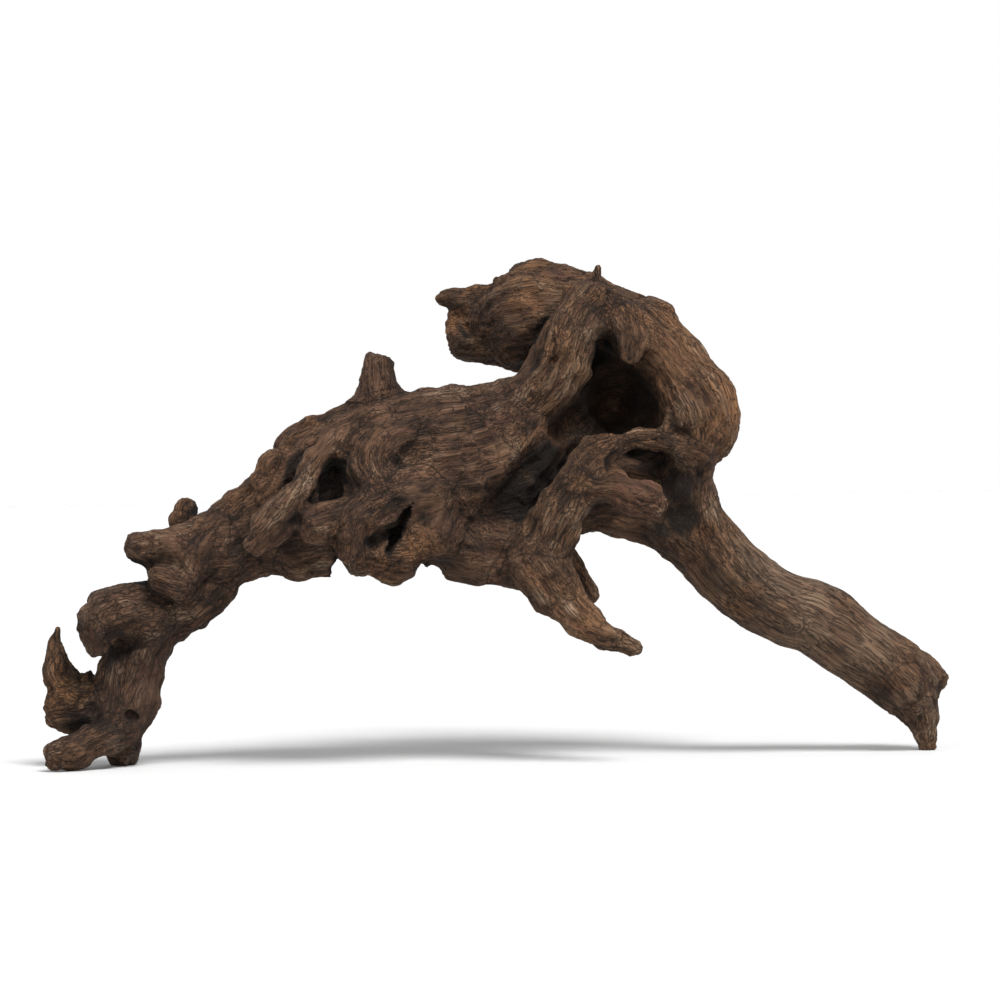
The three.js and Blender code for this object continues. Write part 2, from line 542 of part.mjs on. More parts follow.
// Each branch keeps what lies in its own block, less the blocks of the branches that leave it.
BRANCHES.forEach((branch, i) => {
  const { low, high } = branch.fork ? coverOf(branch.fork, 3 * branch.cell) : EXTENT;
  let solid = woodSolid(low, high, branch.cell);
  if (branch.fork) solid = solid.intersect(blockSolid(branch.fork));
  for (const other of BRANCHES.slice(0, i)) solid = solid.subtract(blockSolid(other.fork, FORK_GAP));
  driftwood.add(meshOf(branch.name, solid.subtract(floorBlock), branch));
});

export default driftwood;
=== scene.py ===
# %% [markdown]
# # Aquarium driftwood
# This lesson dresses a CAD part: an old root that stands like a bridge on two legs, dark brown and
# matte, with furrows that run along every limb. The CAD part gives the size and the branches. Here
# the same limbs are drawn much finer, roughened along the grain, coloured and lit.

# %% Load the CAD part
import math
from types import SimpleNamespace

import bpy
import numpy as np
import openvdb
from mathutils import Matrix, Vector
from mathutils.kdtree import KDTree


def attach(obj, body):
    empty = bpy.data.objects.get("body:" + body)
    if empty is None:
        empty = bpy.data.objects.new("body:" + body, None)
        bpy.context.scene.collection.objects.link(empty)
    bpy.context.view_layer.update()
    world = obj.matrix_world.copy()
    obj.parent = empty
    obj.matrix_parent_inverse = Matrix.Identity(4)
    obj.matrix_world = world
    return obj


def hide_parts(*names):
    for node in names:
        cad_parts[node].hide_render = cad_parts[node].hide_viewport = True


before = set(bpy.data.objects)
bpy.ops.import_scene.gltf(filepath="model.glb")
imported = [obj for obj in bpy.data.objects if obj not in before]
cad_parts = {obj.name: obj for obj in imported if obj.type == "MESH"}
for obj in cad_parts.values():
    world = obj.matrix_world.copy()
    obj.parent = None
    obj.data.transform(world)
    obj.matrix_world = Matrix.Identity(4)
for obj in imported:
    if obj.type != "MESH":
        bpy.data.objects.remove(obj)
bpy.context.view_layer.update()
print("branches:", sorted(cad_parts))

# %% [markdown]
# ## How the wood is drawn
# Real driftwood is the inner wood of a root: round limbs that swell, fork and grow into each other.
# It could be sculpted by hand, but limbs are easier to say as numbers. Each limb is a round bar
# through a few points, in millimetres as the photograph shows it: x to the right, y away from the
# viewer, z up, then the radius. Neighbouring limbs melt together over a blend distance.

# %% The limbs
# name, blend, depth of the section along y, points (x, y, z, radius)
LIMBS = [
    ("trunk", 1, 0.95, [
        (24, 0, 147, 11), (10, 0, 137, 20.6), (-10, 0, 124, 31), (-30, 0, 120.6, 32),
        (-52, 1, 117, 28.6), (-74, 2, 108.6, 24), (-92, 2, 99, 19.2), (-108, 2, 88.4, 15.6),
        (-123, 1, 74.6, 13.2)]),
    ("back wall", 6, 0.75, [(6, 10, 124, 21), (26, 14, 134, 19.6), (46, 18, 146, 22), (62, 18, 144, 22)]),
    ("left shin", 7, 0.95, [
        (-118, 0, 72, 13), (-131, 0, 64.6, 12.8), (-140.6, 1, 53, 12), (-145.6, 2, 40, 12.9),
        (-147.8, 2, 27, 12.4), (-150, 1, 17, 9.6)]),
    ("front toe", 5, 1, [
        (-149, -3, 18, 8), (-159, -12, 13.8, 7), (-168, -17, 9.4, 7.4), (-172.8, -19, 8.2, 6)]),
    ("rear toe", 5, 1.2, [(-151, 4, 16, 8.4), (-150, 7, 9.6, 6.8), (-150, 8, 6.4, 6.2)]),
    ("left lobe", 5, 1, [
        (-134, -2, 65, 12), (-150, -8, 63, 12.2), (-156.4, -11, 60, 10.2), (-157.4, -12, 52.4, 5.3)]),
    ("heel lump", 4, 1, [(-158, 4, 27.8, 9), (-170.2, 6, 26.2, 11)]),
    ("heel twig", 3, 1, [
        (-171, 7, 33, 7.6), (-175.6, 7, 40, 6.4), (-176.6, 7, 47.2, 5), (-176.6, 7, 53, 3),
        (-176, 7, 56.8, 1.9)]),
    ("heel nub", 1.5, 1, [(-180, 6, 42.6, 1.8)]),
    ("heel bump", 2.5, 1, [(-163, 4, 35, 4), (-163.6, 4, 38.4, 2.6)]),
    ("side knob", 5, 1, [(-112, -6, 90, 14), (-126, -8, 89, 10), (-141.8, -7, 89.8, 7)]),
    ("burl", 2, 1, [(-131, -14, 77.5, 7.4), (-125, -15, 75.6, 7)]),
    ("burl bump", 3, 1, [(-136, -8, 82, 3.8)]),
    ("side peg", 3, 1, [(-125.2, 6, 98, 5.8), (-123.4, 6, 105.2, 4.5)]),
    ("side hump", 4, 1.2, [(-114, -2, 99, 4)]),
    ("side fold", 2.5, 1, [
        (-109, -10, 100, 4.4), (-114, -15, 93.4, 5.2), (-118, -17, 86, 5), (-119, -16.4, 79, 4)]),
    ("crest", 4, 1.1, [
        (-52, 4, 141, 8), (-64, 6, 138, 8), (-80, 6, 130.6, 8.6), (-87, 6, 119, 5.4),
        (-96, 4, 107.6, 3.2)]),
    ("upright peg", 4, 0.95, [(-46.4, 6, 150, 9.9), (-47.3, 8, 161.2, 7.5)]),
    ("crest lump", 3, 1.2, [(-88, -6, 122.6, 5.6), (-92.4, -9, 117, 5.6)]),
    ("long ridge", 2.5, 0.95, [
        (-46, -17, 141, 6), (-59, -22, 136.4, 6.6), (-68, -27, 127, 6.6), (-75, -31, 115, 6.8),
        (-82, -34, 105, 8.2), (-89, -32, 97, 7.6), (-93, -30, 92.6, 5.2)]),
    ("burl brow", 3, 1, [
        (-34, -18, 134, 10), (-45, -24, 130, 11), (-49.6, -28, 121, 12), (-46, -31, 112, 12)]),
    ("brow edge", 2, 1, [(-55, -24, 132, 6), (-59.6, -27, 126, 5.4)]),
    ("under ridge", 4, 1.2, [(-66, -6, 88.4, 10.6), (-78, -5, 87, 10.4)]),
    ("knuckle", 2.5, 1, [(-55, -34, 104, 9), (-69, -39, 100, 8.8)]),
    ("burl nose", 3, 1, [
        (-30, -29, 111, 12), (-44, -35, 107.6, 11), (-53, -40, 102, 8.6), (-56, -40, 96, 7.4),
        (-55.6, -39, 90.4, 6.9)]),
    ("knot", 1.5, 1, [(-58, -45, 94.6, 3.4)]),
    ("burl belly", 4, 1, [(-51, -33, 86.8, 8), (-40, -28, 87.6, 11.7)]),
    ("burl cheek", 4, 1, [(-22, -16, 108, 14), (-26, -26, 97.4, 13.2)]),
    ("lower body", 5, 1.1, [(-14, -6, 94, 18), (-3, -8, 92, 16.4), (10, -12, 90, 13)]),
    ("hooked root", 6, 1, [
        (6, -16, 84, 10), (17, -22, 90, 12), (24.6, -26, 104, 11), (33, -27, 118, 9.8),
        (42, -25, 129, 7.4)]),
    ("rim", 4, 1.5, [
        (42, -25, 129.8, 5.6), (56, -19, 132.8, 4.4), (70, -12, 132, 5), (79, -6, 129, 7)]),
    ("rim stub", 2, 1, [(67.6, -14, 133.6, 3.4), (69.2, -15, 138.8, 2.8)]),
    ("thumb", 3.5, 0.95, [
        (32, -28, 115, 8), (44, -32, 114, 7.2), (54, -36, 111.6, 8.8), (61, -38, 109.4, 7.6)]),
    ("web", 6, 0.85, [(20, -6, 100, 8), (40, 2, 110.6, 14), (58, 6, 109, 16.6), (74, 7, 101.6, 16)]),
    ("spur", 4, 1, [
        (17.4, -22, 82.4, 13), (27.2, -24, 69.6, 9.8), (38, -27, 58.8, 6.8), (46.4, -31, 54, 5.8),
        (54, -34, 51, 3.8)]),
    ("rear fin", 3, 1.1, [(24, -8, 92, 7), (31.6, -8, 79, 5.2), (37, -8, 70, 4.6)]),
    ("front limb", 5, 1, [(14, -4, 146, 13), (26, -10, 162, 13.2), (31, -11, 176, 11.6),
                          (38.6, -6, 186.6, 10.4)]),
    ("shoulder", 6, 1.45, [
        (38, 6, 183, 12.2), (50, 6, 179, 13), (61, 6, 172.4, 15), (72, 6, 158.6, 15.5),
        (81.6, 6, 143.4, 17), (77.8, 6, 126, 11.6), (74, 6, 108, 12)]),
    ("shoulder corner", 4, 1.6, [(62, 6, 184.4, 6.6), (66.6, 6, 183.6, 5.2)]),
    ("right leg", 6, 0.95, [
        (75, 5, 101, 14.8), (84, 6, 91.8, 14.4), (92, 7, 81.8, 15.2), (99, 7.5, 76, 15.2),
        (108, 8, 69.6, 14.5), (118, 9, 65, 14.4), (127, 10, 62.4, 15.1), (133.6, 11, 58.8, 15.3),
        (141, 12, 52.8, 14.4), (149.4, 13, 47, 14), (158.8, 15, 41.2, 14.7), (165, 15.5, 35.6, 13.6),
        (169.8, 16, 26.6, 9.6), (172.8, 16.6, 18.6, 6), (174.4, 17, 10.6, 3.6)]),
    ("right heel", 4, 1.2, [(163, 15, 37, 12.6), (168, 16, 32, 9.8)]),
    ("leg ridge", 5, 1, [
        (82.4, -4, 115, 3.8), (84, -5, 104, 4.8), (90, -5, 88, 5.4), (104, -3.4, 71.6, 5.6),
        (119, -2, 61, 4.6)]),
    ("right knob", 2.5, 1.2, [(171, 16, 41, 7), (177, 16, 37, 6.2)]),
    ("broken limb", 4, 1, [
        (48, 12, 182, 13), (32, 18, 184, 17.6), (17, 25, 183.6, 21.8), (4, 31, 179, 16.4),
        (-8, 34, 178, 12.8)]),
    ("broken ledge", 3, 1, [(10, 27, 199.8, 5.4), (15, 26, 198, 8), (26, 22, 196.6, 8.6)]),
    ("broken tip", 2.5, 1, [
        (4, 30, 189.4, 7), (-8, 33, 190.6, 6.4), (-15, 34, 190.6, 5.2), (-20.8, 35, 191, 2.8)]),
    ("top peg", 1.5, 1, [(40.2, -4, 197.4, 3), (40.6, -4, 201.4, 2.2)]),
    ("cave rib", 3, 1, [(51, -9, 182, 7), (54, -15, 173, 6.8), (54.4, -17, 167, 5.2)]),
]
print(len(LIMBS), "limbs")

# %% The hollows
HOLLOWS = [
    ("cave", 1.4, 2.1, [(48.6, -8, 147.6, 13.8), (49.4, -8, 152, 13.2)]),
    ("cave corner", 1.2, 2.4, [(57.6, -11, 157.6, 5.6), (58.6, -11, 142.4, 6)]),
    ("cave foot", 2, 2.4, [(26, -14, 136.4, 5), (36, -12, 141, 7.6), (57.6, -7, 143.4, 8)]),
    ("cave slot", 2, 3.4, [(44, -10, 162, 5.6), (43.6, -10, 171, 3.2)]),
    ("lower bowl", 4, 1.1, [(57, -26, 118, 11.6), (65, -24, 114, 14.6), (70, -20, 102, 13.4)]),
    ("thumb notch", 2, 1.8, [(42.8, -36, 105, 5)]),
    ("valley", 5, 1.2, [(28, -22, 134, 5), (16, -25, 121, 7.4), (6, -26, 107, 8), (-2, -27, 98, 6)]),
    ("ridge hollow", 3, 1.4, [(-74, -22, 129, 5.6), (-80, -22, 115, 6.4)]),
    ("burl hollow", 2, 1.8, [(-61.6, -34, 118.4, 2.8), (-66, -34, 114.6, 3.4), (-73, -34, 110.4, 2)]),
    ("nose underside", 2, 2, [(-50, -50, 97, 2.2), (-43, -48, 95.4, 3.6)]),
    ("burl crack", 1.5, 5, [
        (-31.6, -38, 109.4, 1.5), (-36, -40, 102, 1.8), (-39.4, -42, 94.4, 2.4),
        (-41.6, -42, 89.8, 2)]),
    ("under notch", 2, 9, [(-61.6, -14, 80, 3.6), (-61.8, -14, 86, 1.4)]),
    ("body notch", 1.5, 9, [(-24.2, -14, 78, 4.6), (-25.4, -14, 83, 1.6)]),
    ("eye", 1, 2.4, [(-145, -12, 23.4, 2.5), (-142.8, -12, 22.4, 2.1)]),
    ("front pit", 1, 2.4, [(22.2, -23, 163.4, 0.9), (24.6, -22, 165.6, 0.8)]),
    ("broken hollow", 3, 1.4, [(-15, 24, 184, 3.8), (-11, 21, 177, 3.6)]),
    ("lobe undercut", 2, 1.4, [(-148, -12, 51, 2.2), (-135, -14, 52.4, 2), (-122, -13, 56, 1.4)]),
]
print(len(HOLLOWS), "hollows")

# %% [markdown]
# ## From points to smooth limbs
# A limb has no corners, so a smooth curve runs through its points. The curve is cut into short
# round segments. Two directions across the curve travel along it without twisting: with the length
# along the curve they give every spot on the wood its own place in the grain.

# %% Smooth curves
STEPS_PER_SPAN = 5


def through(points, spans, t):
    """A smooth curve's value t of the way from the second of four points to the third."""
    a, b, c, d = points
    first, middle, last = spans
    slope_b = middle * ((b - a) / first - (c - a) / (first + middle) + (c - b) / middle)
    slope_c = middle * ((c - b) / middle - (d - b) / (middle + last) + (d - c) / last)
    return b + slope_b * t + (3 * (c - b) - 2 * slope_b - slope_c) * t**2 + (
        2 * (b - c) + slope_b + slope_c) * t**3


def centreline(points):
    """Stations (x, y, z, radius) along the smooth curve through a limb's points."""
    points = np.array(points, float)
    if len(points) == 1:
        return np.repeat(points, 2, axis=0)
    places = np.vstack([2 * points[0] - points[1], points, 2 * points[-1] - points[-2]])[:, :3]
    radii = np.concatenate([points[:1, 3], points[:, 3], points[-1:, 3]])
    spans = np.sqrt(np.linalg.norm(np.diff(places, axis=0), axis=1))
    stations = []
    for k in range(len(points) - 1):
        for t in np.arange(STEPS_PER_SPAN) / STEPS_PER_SPAN:
            place = through(places[k:k + 4], spans[k:k + 3], t)
            stations.append([*place, through(radii[k:k + 4], (1, 1, 1), t)])
    return np.array([*stations, points[-1]])


print("trunk stations:", len(centreline(LIMBS[0][3])))


# %% A limb
FAR = 50.0


class Limb:
    """A round bar along a smooth curve, its section widened along y."""

    def __init__(self, name, blend, depth, points):
        self.name, self.blend, self.depth = name, blend, depth
        self.stations = centreline(points)
        steps = np.diff(self.stations[:, :3], axis=0)
        self.along = np.concatenate([[0], np.cumsum(np.linalg.norm(steps, axis=1))])
        self.across = self.travel(steps)
        reach = self.stations[:, 3:].max() * max(1, depth)
        self.low = self.stations[:, :3].min(axis=0) - reach
        self.high = self.stations[:, :3].max(axis=0) + reach

    def travel(self, steps):
        """Two directions across each segment, carried along without twisting."""
        across = []
        side = np.array([0.0, 1.0, 0.0])
        for step in steps:
            ahead = step / max(np.linalg.norm(step), 1e-6)
            side = side - ahead * (side @ ahead)
            side = side / max(np.linalg.norm(side), 1e-6)
            across.append([side, np.cross(ahead, side)])
        return np.array(across)

    def misses(self, low, high, margin):
        return (low > self.high + margin).any() or (high < self.low - margin).any()

    def near(self, where, margin):
        inside = (where > self.low - margin) & (where < self.high + margin)
        return np.flatnonzero(inside.all(axis=1))

    def measure(self, where, margin):
        """Distance to the skin, the nearest segment and how far along it, for each place."""
        best = np.full(len(where), FAR)
        segment = np.zeros(len(where), int)
        fraction = np.zeros(len(where))
        for number, (a, b) in enumerate(zip(self.stations[:-1], self.stations[1:])):
            reach = max(a[3], b[3]) * max(1, self.depth) + margin
            middle = (a[:3] + b[:3]) / 2
            half = np.abs(b[:3] - a[:3]) / 2 + reach
            close = np.flatnonzero((np.abs(where - middle) < half).all(axis=1))
            step = b[:3] - a[:3]
            offset = where[close] - a[:3]
            t = np.clip(offset @ step / max(step @ step, 1e-9), 0, 1)
            offset = offset - t[:, None] * step
            radius = a[3] + t * (b[3] - a[3])
            flat = offset[:, 0]**2 + offset[:, 2]**2
            deep = (offset[:, 1] / self.depth)**2
            round_ = np.sqrt(flat + deep) / radius
            slope = np.sqrt(flat + deep / self.depth**2) / radius**2
            distance = np.where(slope > 1e-9, round_ * (round_ - 1) / np.maximum(slope, 1e-9), -radius)
            better = distance < best[close]
            chosen = close[better]
            best[chosen] = distance[better]
            segment[chosen] = number
            fraction[chosen] = t[better]
        return best, segment, fraction

    def grain(self, where, segment, fraction):
        """Each place in the limb's own grain: two offsets across it and the length along it."""
        start = self.stations[segment, :3]
        step = self.stations[segment + 1, :3] - start
        offset = where - start - fraction[:, None] * step
        across = self.across[segment]
        length = self.along[segment] + fraction * (self.along[segment + 1] - self.along[segment])
        return np.column_stack([
            (offset * across[:, 0]).sum(axis=1), (offset * across[:, 1]).sum(axis=1), length])


wood = [Limb(*limb) for limb in LIMBS]
hollows = [Limb(*hollow) for hollow in HOLLOWS]
print("longest limb:", max(wood, key=lambda limb: limb.along[-1]).name)

# %% [markdown]
# ## One skin round all limbs
# The distance to the nearest wood is a number at every place: negative inside, zero on the skin.
# Limbs are joined with a minimum that rounds off their meeting, hollows are taken away in the same
# manner, and a slow swell keeps any stretch from looking turned on a lathe.

# %% The distance to the wood
# how far outside its own box a limb is still measured
MARGIN = 12.0
# how many places are measured at a time
SLAB = 40000
# the straight right leg has little swell: where along x that starts, over what length, how much
CALM_FROM = 86
CALM_OVER = 26
CALM = 0.8


def smooth_min(a, b, blend):
    """The smaller of two distances, rounded off where they are closer than the blend."""
    overlap = np.maximum(blend - np.abs(a - b), 0) / blend
    return np.minimum(a, b) - overlap**2 * blend / 4


def swell(x, y, z):
    """Waves of about 30 mm with shorter ones between them, a millimetre or so high."""
    slow = np.sin(0.21 * x + 1.7 * np.sin(0.09 * z + 0.05 * y)) * np.sin(
        0.23 * z + 0.17 * y + 1.3 * np.sin(0.08 * x))
    quick = np.sin(0.43 * x + 0.31 * y) * np.sin(0.47 * z - 0.29 * y + 0.13 * x)
    calm = np.clip((x - CALM_FROM) / CALM_OVER, 0, 1)
    return (0.9 * slow + 0.5 * quick) * (1 - CALM * calm * calm * (3 - 2 * calm))


def distance_to_wood(where):
    """Millimetres from each place to the skin, negative inside the wood."""
    if len(where) > SLAB:
        parts = np.array_split(where, len(where) // SLAB + 1)
        return np.concatenate([distance_to_wood(part) for part in parts])
    distance = np.full(len(where), 1e3)
    low, high = where.min(axis=0), where.max(axis=0)
    for limb in wood:
        if limb.misses(low, high, MARGIN):
            continue
        close = limb.near(where, MARGIN)
        here, _, _ = limb.measure(where[close], MARGIN)
        distance[close] = smooth_min(distance[close], here, limb.blend)
    for hollow in hollows:
        if hollow.misses(low, high, MARGIN):
            continue
        close = hollow.near(where, MARGIN)
        here, _, _ = hollow.measure(where[close], MARGIN)
        distance[close] = -smooth_min(-distance[close], here, hollow.blend)
    return distance + swell(*where.T)


print("just above the trunk:", distance_to_wood(np.array([[-30.0, 0.0, 156.0]])).round(1), "mm")

# %% [markdown]
# ## Wrapping the skin in faces
# Blender carries OpenVDB, which turns a block of distances into a closed mesh of quads. Most of the
# block is empty, so distances are first taken coarsely and then finely only close to the skin.

# %% Mesh the skin
CELL = 0.76
# cells along the side of a coarse block
COARSE = 4
LOW = np.array([-190.0, -54.0, -6.0])
HIGH = np.array([188.0, 62.0, 212.0])
# how far from the skin distances are still measured finely
BAND = 4.0


def skin_mesh():
    """The points and quads of the skin, measured finely only within the band around it."""
    blocks = np.ceil((HIGH - LOW) / (CELL * COARSE)).astype(int)
    index = np.stack(np.meshgrid(*[np.arange(n) for n in blocks], indexing="ij"), axis=-1).reshape(-1, 3)
    coarse = distance_to_wood(LOW + (index + 0.5) * CELL * COARSE)
    volume = np.where(coarse < 0, -BAND, BAND).astype(np.float32).reshape(blocks)
    for axis in range(3):
        volume = np.repeat(volume, COARSE, axis=axis)
    cells = np.stack(np.meshgrid(*[np.arange(COARSE)] * 3, indexing="ij"), axis=-1).reshape(-1, 3)
    fine = (index[np.abs(coarse) < BAND][:, None] * COARSE + cells).reshape(-1, 3)
    volume[tuple(fine.T)] = distance_to_wood(LOW + (fine + 0.5) * CELL)
    grid = openvdb.FloatGrid(BAND)
    grid.copyFromArray(volume)
    points, quads = grid.convertToQuads(isovalue=0.0)
    return LOW + (points + 0.5) * CELL, quads.astype(np.int32)


points, quads = skin_mesh()
print(len(points), "points,", len(quads), "quads")

# %% [markdown]
# ## The grain
# Wood splits and weathers along its fibres, so every furrow follows its limb. Each point of the
# skin gets its place in the grain of the two nearest limbs, with a number that says how far it has
# crossed from the first to the second. Patterns read these places instead of x, y and z.

# %% Places in the grain
# how much nearer one limb is than the other where the grain is all its own
CROSSING = 9.0
GRAIN_REACH = 30.0
# moves each limb to its own stretch of the patterns
PATTERN_SHIFT = 57.3


def grain_of(where):
    """Grain places in the two nearest limbs, and 0 to 0.5 for the crossing to the second."""
    near = np.full((2, len(where)), GRAIN_REACH)
    places = np.zeros((2, len(where), 3))
    for number, limb in enumerate(wood):
        close = limb.near(where, MARGIN)
        distance, segment, fraction = limb.measure(where[close], MARGIN)
        place = limb.grain(where[close], segment, fraction) + PATTERN_SHIFT * number
        first = distance < near[0, close]
        to_second = close[first]
        near[1, to_second] = near[0, to_second]
        places[1, to_second] = places[0, to_second]
        near[0, to_second] = distance[first]
        places[0, to_second] = place[first]
        second = ~first & (distance < near[1, close])
        near[1, close[second]] = distance[second]
        places[1, close[second]] = place[second]
    return places[0], places[1], 0.5 - 0.5 * np.clip((near[1] - near[0]) / CROSSING, 0, 1)


# %% [markdown]
# ## Spots that weathered in their own way, and spots of painted shade
# Tips and the burl have gone crumbly, while water has washed the right leg and the lip of the bowl
# smooth. Light and wear have made some stretches pale or grey, and hollows get painted shade. Painting
# such places by hand would be slow to repeat, so each is a ball, and its effect fades to its edge.

# %% Crumbly, smooth, painted shade, pale and greyed spots
# x, y, z, radius
CRUMBLY = [
    (-176, -19, 7, 9), (-174, 6, 28, 13), (-174, 7, 42, 8), (-148, 12, 7, 7), (-138, -8, 90, 8),
    (-124, 6, 104, 7), (-100, -4, 108, 12), (-85, -5, 118, 16), (-72, 0, 136, 12), (-58, -30, 126, 8),
    (-60, -41, 96, 9), (-44, -36, 82, 11), (-35, -34, 88, 9), (-14, 32, 180, 11), (12, 30, 166, 10),
    (176, 17, 10, 5)]
SMOOTH = [
    (50, 4, 149, 22), (72, -8, 106, 16), (74, 4, 110, 18), (92, 6, 84, 26), (118, 8, 66, 28),
    (142, 12, 50, 28), (164, 15, 38, 16), (24, -24, 100, 14), (36, -27, 122, 12), (26, -24, 74, 12),
    (50, -34, 112, 12), (30, -10, 170, 14)]
# spots of painted shade: the cave, the bowl, the valley and the hollows of the burl
SHADE_SPOTS = [
    (50, 4, 149, 26), (38, -4, 142, 14), (64, -14, 113, 12), (73, -8, 114, 11), (74, -8, 102, 11),
    (66, -10, 98, 9), (8, -18, 110, 14), (20, -16, 124, 13), (-40, -32, 92, 9), (-50, -40, 94, 6),
    (-78, -16, 124, 9)]
PALE = [(70, 0, 168, 28), (86, 0, 143, 26), (32, -26, 64, 20), (-32, -32, 92, 13)]
GREYED = [(104, 6, 76, 26), (126, 9, 62, 26), (148, 13, 48, 24), (168, 16, 32, 22)]
# how steeply a spot fades towards its edge, and how far a spot of painted shade closes the view
FADE = 1.6
SHADE_STRENGTH = 0.82
# how far out the skin looks for other wood, in millimetres
LOOKS = (6.0, 18.0)


def closeness(where, spots):
    """1 in the middle of the nearest spot, 0 outside all of them."""
    value = np.zeros(len(where))
    for *middle, radius in spots:
        far = np.linalg.norm(where - middle, axis=1) / radius
        value = np.maximum(value, np.clip(FADE - FADE * far, 0, 1))
    return value * value * (3 - 2 * value)


def openness(where, normals):
    """How far the skin looks out, which sets the painted shade: 0 deep in a crack, hollow or shade spot, 1
    on an open slope.
    """
    looks = [np.clip(distance_to_wood(where + reach * normals) / reach, 0, 1) for reach in LOOKS]
    return np.mean(looks, axis=0) * (1 - SHADE_STRENGTH * closeness(where, SHADE_SPOTS))


print("crumbly spots:", len(CRUMBLY), "smooth spots:", len(SMOOTH))

# %% [markdown]
# ## The skin as a Blender mesh
# Everything that the carving and the paints need is written on the skin's points as attributes,
# because these travel with the points when the mesh is carved and cut.


# %% Write the attributes
def plain_mesh(name, points, faces):
    """A smooth-shaded mesh from rows of points and of point numbers."""
    mesh = bpy.data.meshes.new(name)
    mesh.from_pydata(points.tolist(), [], faces.tolist())
    mesh.shade_smooth()
    return mesh


def write_value(mesh, name, values):
    """Keep a number or a vector for each point under a name."""
    kind, field = ("FLOAT_VECTOR", "vector") if values.ndim == 2 else ("FLOAT", "value")
    layer = mesh.attributes.get(name) or mesh.attributes.new(name, kind, "POINT")
    layer.data.foreach_set(field, values.astype(np.float32).ravel())


def read_points(mesh, collection="vertices", field="co"):
    """The places of all points, or their normals, as rows of three numbers."""
    values = np.empty(len(mesh.vertices) * 3, np.float32)
    getattr(mesh, collection).foreach_get(field, values)
    return values.reshape(-1, 3).astype(float)


skin = plain_mesh("skin", points, quads)
for name, places in zip(("grain_a", "grain_b", "crossing"), grain_of(points)):
    write_value(skin, name, places)
for name, spots in (("crumbly", CRUMBLY), ("smooth", SMOOTH), ("pale", PALE), ("greyed", GREYED)):
    write_value(skin, name, closeness(points, spots))
skin_normals = read_points(skin, "vertex_normals", "vector")
# how open the skin is, which the paint turns into painted shade
write_value(skin, "open", openness(points, skin_normals))
print("attributes:", [layer.name for layer in skin.attributes])

# %% [markdown]
# ## Sums with sockets
# Both the carving and the paints are sums of patterns. This small class lets a node's output be
# added, taken away and multiplied like a number, and every other node comes from one method.


# %% Sockets that behave like numbers
class Signal:
    """An output of a node that is used in a sum like a number."""

    def __init__(self, sheet, socket):
        self.sheet, self.socket = sheet, socket

    def math(self, operation, *values):
        inputs = dict(enumerate(values))
        return self.sheet.add("ShaderNodeMath", {"operation": operation}, inputs)

    def __add__(self, other):
        return self.math("ADD", self, other)

    def __mul__(self, other):
        return self.math("MULTIPLY", self, other)

    def __sub__(self, other):
        return self.math("SUBTRACT", self, other)

    def __rsub__(self, other):
        return self.math("SUBTRACT", other, self)

    def __abs__(self):
        return self.math("ABSOLUTE", self)

    __radd__ = __add__
    __rmul__ = __mul__

    def ramp(self, low, high):
        """0 below low, 1 above high, smooth between them."""
        settings = {"interpolation_type": "SMOOTHSTEP"}
        return self.sheet.add("ShaderNodeMapRange", settings, {0: self, 1: low, 2: high})


class Sheet:
    """A node tree that nodes are added to, one at a time."""

    def __init__(self, tree):
        self.tree = tree

    def add(self, kind, settings=None, inputs=None, output=0):
        """A new node with its settings and inputs, given back as one of its outputs."""
        node = self.tree.nodes.new(kind)
        for name, value in (settings or {}).items():
            setattr(node, name, value)
        for key, value in (inputs or {}).items():
            if isinstance(value, Signal):
                self.tree.links.new(value.socket, node.inputs[key])
            else:
                node.inputs[key].default_value = value
        return Signal(self, node.outputs[output]) if len(node.outputs) else None

    def stretched(self, vector, size):
        """A vector counted in steps of a given size along each of its directions."""
        return self.add("ShaderNodeVectorMath", {"operation": "DIVIDE"}, {0: vector, 1: size})

    def noise(self, vector, detail=2.0, roughness=0.5, output=0):
        inputs = {"Vector": vector, "Scale": 1.0, "Detail": detail, "Roughness": roughness}
        return self.add("ShaderNodeTexNoise", {}, inputs, output)

    def blend(self, factor, first, second):
        return factor * (second - first) + first

    def colours(self, factor, first, second):
        return self.add("ShaderNodeMix", {"data_type": "RGBA"}, {0: factor, 6: first, 7: second}, output=2)


print("helpers:", Signal.__name__, Sheet.__name__)

# %% [markdown]
# ## Carving the furrows
# Water and rot eat the soft wood first, which leaves ridges with sharp furrows between them, wide
# ones a few millimetres apart and finer ones inside them. A geometry node tree pushes each point of
# the skin in or out by such ridges, drawn out along the grain, and notes the depth for the paint.

# %% Patterns in the grain
# how many millimetres fibres wander, and the size of the waves across, across and along the grain
WANDER_ROUGH = 5
WANDER_SMOOTH = 1
WANDER_WAVE = (9.0, 9.0, 14.0)


def attribute(sheet, name, data_type="FLOAT"):
    """A value that the skin carries, as the carving reads it."""
    return sheet.add("GeometryNodeInputNamedAttribute", {"data_type": data_type}, {"Name": name})


def wandering(sheet, reader, place):
    """A place in the grain that drifts a little, least in smooth wood, so that fibres bend."""
    drift = sheet.noise(sheet.stretched(place, WANDER_WAVE), 1.0, 0.5, output=1)
    reach = WANDER_ROUGH - reader(sheet, "smooth") * (WANDER_ROUGH - WANDER_SMOOTH)
    bend = sheet.add("ShaderNodeCombineXYZ", {}, {0: reach, 1: reach, 2: 0.0})
    return sheet.add("ShaderNodeVectorMath", {"operation": "MULTIPLY_ADD"}, {0: drift, 1: bend, 2: place})


def grain_pattern(sheet, reader, make):
    """The same pattern in the grain of both limbs, crossed over from one to the other."""
    first = make(wandering(sheet, reader, reader(sheet, "grain_a", "FLOAT_VECTOR")))
    second = make(wandering(sheet, reader, reader(sheet, "grain_b", "FLOAT_VECTOR")))
    return sheet.blend(reader(sheet, "crossing"), first, second)


print("fibres wander by", WANDER_ROUGH, "mm at most")

# %% The carving tree
# name, width, length and depth of the ridges in millimetres
RIDGES = [("Broad", 12.0, 90.0, 1.2), ("Middle", 4.6, 36.0, 0.7), ("Narrow", 2.1, 18.0, 0.36)]
